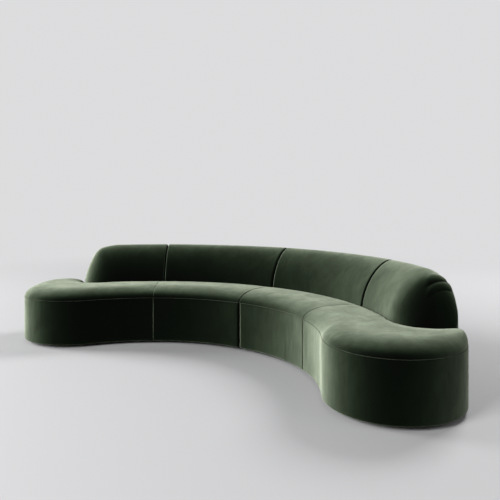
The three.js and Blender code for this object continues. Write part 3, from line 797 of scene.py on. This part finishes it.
rows = seam_rows(sewn_start, 0.0)
last_front, last_rear = rows[-1][0](front_radius), rows[-1][0](rear_radius)
run = [
    *arc(front_radius, last_front, wing_angle, front_places),
    *[cap_point(0, phi) for phi in np.linspace(-pi / 2, pi / 2, cap_places)],
    *arc(rear_radius, wing_angle, last_rear, rear_places),
]
end_path = [*on_front(rows)[:-1], *spaced(run, side_run), *on_rear(rows)[::-1][1:]]
drawn = [row[1] for row in rows]
end_drawn = [*drawn[:-1], *[0] * side_run, *drawn[::-1][1:]]
cushioned = [(corner_hold, len(end_path) - corner_hold)]
side_end = side("side_end", end_path, end_drawn, polar(middle_radius, wing_angle), cushioned)
pair(side_end, "side_end", velvet, ["side_cover_end"])

# %% [markdown]
# ## The cloth under the base
#
# A sheet of black felt is stretched over the underside of each half and stapled near its edge. Its
# threads run straight across, from the front edge to the rear one, and shorten round the end.

# %% Stretch the dust cloths
cloth_setback, cloth_thickness = 0.014, 0.001
cloth_low = floor_gap + 0.0002
cloth_levels = (cloth_low, cloth_low + cloth_thickness)
cloth_lines, cloth_points, tip_turn = 40, 24, 0.02


def across_half(setback, count):
    """Lines across the underside, from the break to the tip. Each has a front place and a rear one."""
    front, rear = front_radius + setback, rear_radius - setback
    start = turn_at(0, half_gap + setback)
    lines = [
        (polar(front, mix(start(front), wing_angle, share)), polar(rear, mix(start(rear), wing_angle, share)))
        for share in np.linspace(0, 1, count)[:-1]
    ]
    turns = np.linspace(pi / 2, tip_turn, count)
    return lines + [(cap_point(setback, -phi), cap_point(setback, phi)) for phi in turns]


lines = across_half(cloth_setback, cloth_lines)
sections = []
for front, rear in lines:
    thread = np.linspace(front, rear, cloth_points)
    below, above = (np.insert(thread, 2, height, axis=1) for height in cloth_levels)
    sections.append(np.concatenate([below, above[::-1]]))
dust_cloth = stack("dust_cloth", sections, False)

edge = np.array([front for front, rear in lines] + [rear for front, rear in lines][::-1])
for cloth in pair(dust_cloth, "dust_cloth", felt, ["dust_cover"]):
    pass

# %% [markdown]
# ## Backs
#
# A back is foam round a bent plywood shell, so its pad is a hood that is open below. Its face
# stands up from the seat, leans away to a soft crest and comes down over a round at the rear. The
# outer two backs slope down and narrow to a rounded end.

# %% Draw the section of a back
foam_depth, foot_roll = 0.0483, 0.005
back_points, lean_steps, round_steps, foot_steps = 76, 48, 24, 2
# Painted shade at the foot of a back and in its gaps.
foot_shade_depths, gap_shade_depths = (1, 0.9, 0.6, 0.2), (1, 1, 0.7, 0.15)
back_row_count, level_rows, slope_rows, slope_first = 72, 22, 40, 0.05


def back_line(inset):
    """Radii and heights, from the foot of the face over the crest to the foot of the rear."""
    reach, rise = crest_radius - face_radius - inset, back_height - lean_start - inset
    face, rear, foot = face_radius + inset, rear_radius - inset, pad_base + foot_roll
    line = [(face, foot)]
    for t in quarter(lean_steps):
        back_reach, lift = reach * power(cos(t), lean_power), rise * power(sin(t), lean_power)
        line.append((crest_radius - back_reach, lean_start + lift))
    for t in quarter(round_steps)[1:]:
        rounding = rear_round - inset
        line.append((crest_radius + rounding * sin(t), back_height - rear_round + rounding * cos(t)))
    line.append((rear, foot))
    front = [(face + foot_roll * (1 - sin(t)), foot - foot_roll * cos(t)) for t in quarter(foot_steps)[:-1]]
    under = [(rear - foot_roll * (1 - cos(t)), foot - foot_roll * sin(t)) for t in quarter(foot_steps)[1:]]
    return np.concatenate([front, spaced(line, back_points), under])


def back_rows(rows, inset):
    """Sections of a back. Each row has its angle, how far it is drawn in, its share of the height, and
    its shares of the depth before and behind the crest."""
    sections = []
    for turn, drawn, rise, face_girth, rear_girth in rows:
        line = back_line(drawn)
        radii = mix(crest_radius, line[:, 0], np.where(line[:, 0] < crest_radius, face_girth, rear_girth))
        heights = mix(pad_base, line[:, 1], rise)
        plan = [polar(radius, turn(radius)) for radius in radii]
        sections.append(np.column_stack([plan, heights]))
    return sections


def full_size(rows):
    return [(*row, 1, 1, 1) for row in rows]


def middle_back(inset):
    return back_rows(full_size(rows_between(middle_back_start, back_end, back_row_count, inset)), inset)


def share_left(reach, inset, inwards):
    """How much of a reach is left, some way in from the tip: 1 at the tip and 0 past its end."""
    return max(1 - inwards / (reach - inset), 0)


def girth(nose, inset, inwards):
    """How wide a rounded end still is, some way in from its tip."""
    reach, bend = nose
    return (1 - share_left(reach, inset, inwards) ** bend) ** (1 / bend)


def end_rise(inset, inwards):
    """How high it is there: most of it rises over the shoulder, the rest in a long gentle fall."""
    bend = 1 - share_left(shoulder_reach, inset, inwards) ** shoulder_crest
    fall = 1 - share_left(fall_reach, inset, inwards) ** fall_power
    return mix(fall, bend ** (1 / shoulder_foot), shoulder_share)


def end_back(inset):
    """The seam's rows, the level rows, and the rows that slope to the tip, ever closer together."""
    start = seam_rows(back_start, inset)
    slope = []
    for share in np.linspace(1, slope_first, slope_rows) ** 2:
        inwards = share * (fall_reach - inset)
        girths = girth(face_nose, inset, inwards), girth(rear_nose, inset, inwards)
        slope.append((turn_at(back_end_angle, -(inset + inwards)), inset, end_rise(inset, inwards), *girths))
    begin, finish = start[-1][0], slope[0][0]
    level = [
        (lambda radius, share=share: mix(begin(radius), finish(radius), share), inset)
        for share in np.linspace(0, 1, level_rows + 2)[1:-1]
    ]
    return back_rows([*full_size([*start, *level]), *slope], inset)


def back(name, sections_at, gaps):
    """The outside is swelled as a solid of its own, and then gets the hollow for the shell. gaps is how
    many of its two sides stand at a gap."""
    solid = stack(name + "_solid", sections_at(skin_inset), False)
    shape = np.shape(sections_at(skin_inset))
    held = np.ones(shape[:2], bool)
    foot_hold = len(foot_shade_depths)
    held[end_hold:-end_hold, foot_hold:-foot_hold] = False
    swell(solid, held.ravel(), swell_cap)
    outer = points_of(solid.data).reshape(shape)
    bpy.data.objects.remove(solid)
    made = hood(name, outer, sections_at(foam_depth))
    # Painted shade: darker at the foot of the face and of the rear, in the gaps and over the whole inside of
    # the hood.
    along = np.zeros(shape[1])
    along[:foot_hold], along[-foot_hold:] = foot_shade_depths, foot_shade_depths[::-1]
    across = np.zeros(shape[0])
    across[: len(gap_shade_depths)] = gap_shade_depths
    if gaps == 2:
        across[-len(gap_shade_depths) :] = gap_shade_depths[::-1]
    depths = seam_shade_of(shape[:2], across, along)
    paint_seam_shade(made, np.stack([depths, np.ones(shape[:2])]))
    smooth(made)
    return made


# %% Make the backs
pair(back("back_middle", middle_back, 2), "back_middle", velvet,
     ["back_cover_middle", "back_foam_middle"])
right_end, _ = pair(back("back_end", end_back, 1), "back_end", velvet,
                    ["back_cover_end", "back_foam_end"])

# %% [markdown]
# ## Folds
#
# On the rounded end of the right back the photograph shows two folds, one over the other, where the
# loose cover has slipped down. Each is a soft swelling over a thin crease that arches round the end.
# A crease's height over the floor is a parabola of the plan radius, and both folds fade out at their
# ends, over the ranges of radius and of way in from the tip that are given here.

# %% Press the folds
fold_peaks = ((1.90, 0.6655, 3.8), (1.91, 0.6195, 4.6))
fold_height, fold_swell, fold_power = 0.046, 0.006, 0.8
crease_width, crease_sink = 0.004, 0.003
fold_begins, fold_ends, fold_inner_end = (1.79, 1.84), (1.985, 1.95), (0.19, 0.15)


def bell(values, width):
    return np.exp(-((values / width) ** 2))


def faded(values, first, last):
    """0 at first and before it, 1 at last and after it, with a smooth slope between."""
    share = np.clip((values - first) / (last - first), 0, 1)
    return share * share * (3 - 2 * share)


points = points_of(right_end.data)
radii = np.hypot(points[:, 0], points[:, 1] - curve_centre)
inwards = radii * np.sin(back_end_angle - np.arctan2(points[:, 0], points[:, 1] - curve_centre))
reach = faded(radii, *fold_begins) * faded(radii, *fold_ends) * faded(inwards, *fold_inner_end)
lift, creased = np.zeros(len(points)), np.zeros(len(points))
for radius, height, steepness in fold_peaks:
    over = points[:, 2] - (height - steepness * (radii - radius) ** 2)
    crease = bell(over, crease_width)
    lift += fold_swell * np.sin(np.clip(over / fold_height, 0, 1) * pi) ** fold_power - crease_sink * crease
    creased = np.maximum(creased, crease * reach)
folded = points + normals_of(right_end.data) * (lift * reach)[:, None]
right_end.data.vertices.foreach_set("co", folded.ravel())
# The creases also go into the seam mark, so the velvet paints shade along them.
marks = right_end.data.attributes["seam"].data
depths = np.empty(len(points))
marks.foreach_get("value", depths)
marks.foreach_set("value", np.maximum(depths, creased))
right_end.data.update()
print("folds reach", int(np.sum(reach > 0)), "points")

# %% [markdown]
# ## Finishes for the rigid pieces
#
# The timber, the webbing and the steel have the right shapes in the CAD model, so they stay and
# only get their finishes, each by the slot that its material in the imported model names.

# %% Finish the pieces that stay
finishes = {"plywood": plywood, "webbing": webbing, "glide_plastic": plastic, "steel": steel}
finishes |= {"dust_cloth": felt, "velvet": velvet, "foam": felt}
for node in nodes.values():
    slot = node.data.materials[0].name.split(".")[0]
    node.data.materials.clear()
    node.data.materials.append(finishes[slot].material)

# %% [markdown]
# ## The floor and the light
#
# The sofa stands on a wide pale floor in front of a pale background. Both look pale to the camera,
# also in a mirror or through glass, and give back much less light to the velvet, which keeps its
# dark parts dark. Far from the sofa the floor fades into the background.

# %% Lay the floor
floor_size = 60.0
pale_floor, dim_floor, pale_background = (0.62, 0.62, 0.63), (0.12, 0.12, 0.12), (0.72, 0.72, 0.73)
world_light = 0.117
haze_begins, haze_full = 2.2, 7.5


class Surroundings(Finish):
    """The world around the model, whose nodes are added in the same way."""

    def __init__(self, name, light):
        self.material = bpy.data.worlds.new(name)
        self.material.use_nodes = True
        self.tree = self.material.node_tree
        glow = self.tree.nodes["Background"]
        self.feed(glow.inputs["Color"], (1, 1, 1))
        self.feed(glow.inputs["Strength"], light)


def looked_at(finish):
    """1 where a surface is looked at, straight, in a mirror or through glass, and 0 where it gives light."""
    rays = ("Is Camera Ray", "Is Glossy Ray", "Is Transmission Ray")
    seen, mirrored, through = (finish.node("ShaderNodeLightPath", {}, {}, ray) for ray in rays)
    return seen.math("MAXIMUM", mirrored).math("MAXIMUM", through)


bpy.ops.object.select_all(action="DESELECT")
bpy.ops.mesh.primitive_plane_add(size=floor_size, location=(0, 0, 0))
floor = bpy.context.active_object
floor.name = "floor"
ground = Finish("floor", Specular_IOR_Level=0.2, Roughness=0.7)
shown = looked_at(ground)
ground.set(Base_Color=ground.blend(shown, dim_floor, pale_floor))
distance = ground.node("ShaderNodeVectorMath", {"operation": "LENGTH"}, {0: ground.place}, "Value")
haze = ground.node("ShaderNodeEmission", {}, {"Color": pale_background, "Strength": 1.0})
ground.over(distance.ramp(haze_begins, haze_full) * shown, haze)
floor.data.materials.append(ground.material)

studio = Surroundings("studio", world_light)
backdrop = studio.node("ShaderNodeBackground", {}, {"Color": pale_background, "Strength": 1.0})
studio.over(looked_at(studio), backdrop)
bpy.context.scene.world = studio.material
print("floor:", floor_size, "m square")

# %% [markdown]
# ## The lamps
#
# Four large soft lamps look at the middle of the sofa. The strongest stands low at the left and rakes
# across the velvet, so that its pile glows along every edge that turns away. One high behind the sofa
# lights the crests and the seats, one in front fills the walls, and a weak one stands at the right.

# %% Hang the lamps
lamp_side, lamp_aim = 3.5, Vector((0, 0, 0.4))


def lamp(name, place, watts):
    light = bpy.data.objects.new(name, bpy.data.lights.new(name, "AREA"))
    light.data.size = lamp_side
    light.data.energy = watts
    light.location = place
    light.rotation_euler = (lamp_aim - Vector(place)).to_track_quat("-Z", "Y").to_euler()
    bpy.context.collection.objects.link(light)
    print("lamp", name, "at", place, "with", watts, "W")


lamp("window", (-8.24, -3.00, 2.42), 696)
lamp("back", (1.84, 6.85, 5.94), 488)
lamp("front", (-0.71, -8.13, 4.20), 572)
lamp("right", (8.43, 0.74, 3.48), 74)
bpy.context.scene.view_settings.view_transform = "Standard"
